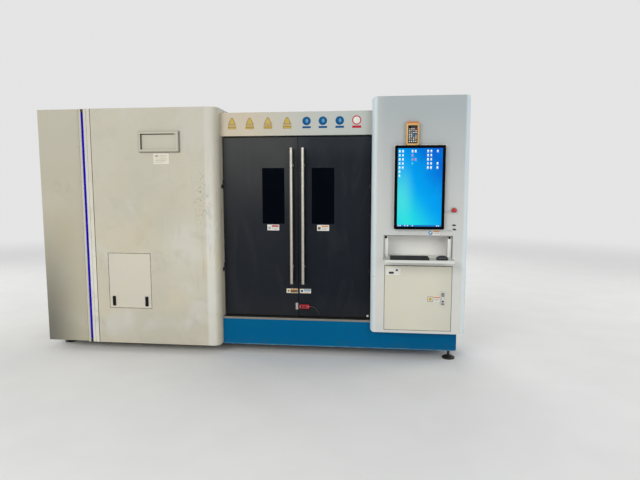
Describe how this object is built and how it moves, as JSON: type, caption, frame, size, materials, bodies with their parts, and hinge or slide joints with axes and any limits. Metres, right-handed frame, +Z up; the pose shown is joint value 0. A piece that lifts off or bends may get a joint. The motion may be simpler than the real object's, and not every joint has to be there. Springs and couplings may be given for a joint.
{
  "type": "fiber laser cutting machine",
  "caption": "Enclosed laser cutting machine: tall cabinet, double swing doors over a blue base, toothed cutting table with gantry and head, and a control console with a folding keyboard shelf.",
  "frame": {"origin": "on the floor under the middle of the bounding box", "axes": "+X to the right seen from the front, +Y to the rear, +Z up; the doors face -Y"},
  "size_m": [3.797, 1.99, 2.25],
  "materials": {
    "ivory_paint": "satin powder coat",
    "white_paint": "satin powder coat",
    "graphite_paint": "satin powder coat",
    "blue_paint": "satin paint",
    "bed_paint": "machine paint",
    "steel": "brushed",
    "dark_metal": "blackened",
    "copper": "turned copper",
    "black_plastic": "matte",
    "white_plastic": "matte",
    "red_plastic": "matte",
    "yellow_rubber": "soft cover",
    "blue_light": "lit diffuser",
    "screen_glass": "lit screen",
    "filter_glass": "dark laser filter pane"
  },
  "bodies": {
    "base": {"machine_bed": "bed_paint", "base_front_cover": "blue_paint", "console_plinth": "blue_paint", "sill_strip": "steel", "foot_front_left": "dark_metal", "foot_rear_left": "dark_metal", "foot_rear_right": "dark_metal", "foot_front_right": "dark_metal", "left_front_panel": "ivory_paint", "left_side_panel": "ivory_paint", "left_roof_panel": "ivory_paint", "left_inner_wall": "ivory_paint", "nameplate_frame": "ivory_paint", "led_strip": "blue_light", "laser_source": "graphite_paint", "header_panel": "ivory_paint", "bay_roof": "ivory_paint", "bay_right_wall": "ivory_paint", "rear_panel": "ivory_paint", "door_frame": "graphite_paint", "hinge_left_lower": "dark_metal", "hinge_left_upper": "dark_metal", "hinge_right_lower": "dark_metal", "hinge_right_upper": "dark_metal", "cutting_table": "bed_paint", "rail_left": "steel", "rail_right": "steel", "console_front": "white_paint", "console_carcass": "white_paint", "keyboard_niche": "white_paint", "monitor": "black_plastic", "screen": "screen_glass", "pendant": "yellow_rubber", "estop_collar": "steel", "control_computer": "bed_paint"},
    "left_door": {"door_left": "graphite_paint", "window_left": "filter_glass", "handle_left": "steel", "interlock_tongue": "steel"},
    "right_door": {"door_right": "graphite_paint", "window_right": "filter_glass", "handle_right": "steel", "interlock_switch": "red_plastic", "interlock_lead": "black_plastic", "door_bumper": "white_plastic"},
    "hatch": {"service_hatch": "ivory_paint"},
    "left_latch": {"hatch_latch_left": "black_plastic"},
    "right_latch": {"hatch_latch_right": "black_plastic"},
    "gantry": {"gantry_beam": "white_paint"},
    "carriage": {"head_carriage": "white_paint"},
    "head": {"vertical_slide": "dark_metal", "cutting_head": "graphite_paint", "nozzle": "copper"},
    "flap": {"keyboard_flap": "white_paint", "keyboard": "black_plastic", "mouse": "black_plastic"},
    "lower_door": {"console_door": "ivory_paint", "door_lock": "steel"},
    "lever": {"lock_lever": "steel"},
    "stop_button": {"estop_button": "red_plastic"}
  },
  "joints": [
    {"name": "left_door_hinge", "type": "hinge", "parent": "base", "child": "left_door", "pos_m": [-0.2265, -0.6615, 0.34], "axis": [0, 0, -1], "range_deg": [0, 90]},
    {"name": "right_door_hinge", "type": "hinge", "parent": "base", "child": "right_door", "pos_m": [1.0825, -0.6615, 0.34], "axis": [0, 0, 1], "range_deg": [0, 90]},
    {"name": "hatch_hinge", "type": "hinge", "parent": "base", "child": "hatch", "pos_m": [-1.074, -0.805, 0.91], "axis": [-1, 0, 0], "range_deg": [0, 90]},
    {"name": "left_latch_turn", "type": "hinge", "parent": "hatch", "child": "left_latch", "pos_m": [-1.229, -0.805, 0.473], "axis": [0, -1, 0], "range_deg": [0, 90]},
    {"name": "right_latch_turn", "type": "hinge", "parent": "hatch", "child": "right_latch", "pos_m": [-0.919, -0.805, 0.473], "axis": [0, -1, 0], "range_deg": [0, 90]},
    {"name": "gantry_travel", "type": "slide", "parent": "base", "child": "gantry", "axis": [0, -1, 0], "range_m": [0, 1.1]},
    {"name": "carriage_travel", "type": "slide", "parent": "gantry", "child": "carriage", "axis": [1, 0, 0], "range_m": [-0.4, 0.4]},
    {"name": "head_lift", "type": "slide", "parent": "carriage", "child": "head", "axis": [0, 0, 1], "range_m": [-0.045, 0.075]},
    {"name": "flap_hinge", "type": "hinge", "parent": "base", "child": "flap", "pos_m": [1.4895, -0.799, 0.897], "axis": [-1, 0, 0], "range_deg": [0, 90]},
    {"name": "lower_door_hinge", "type": "hinge", "parent": "base", "child": "lower_door", "pos_m": [1.2145, -0.805, 0.282], "axis": [0, 0, -1], "range_deg": [0, 90]},
    {"name": "lever_turn", "type": "hinge", "parent": "lower_door", "child": "lever", "pos_m": [1.7055, -0.8053, 0.527], "axis": [0, -1, 0], "range_deg": [0, 90]},
    {"name": "stop_button_press", "type": "slide", "parent": "base", "child": "stop_button", "axis": [0, 1, 0], "range_m": [0, 0.005]}
  ]
}
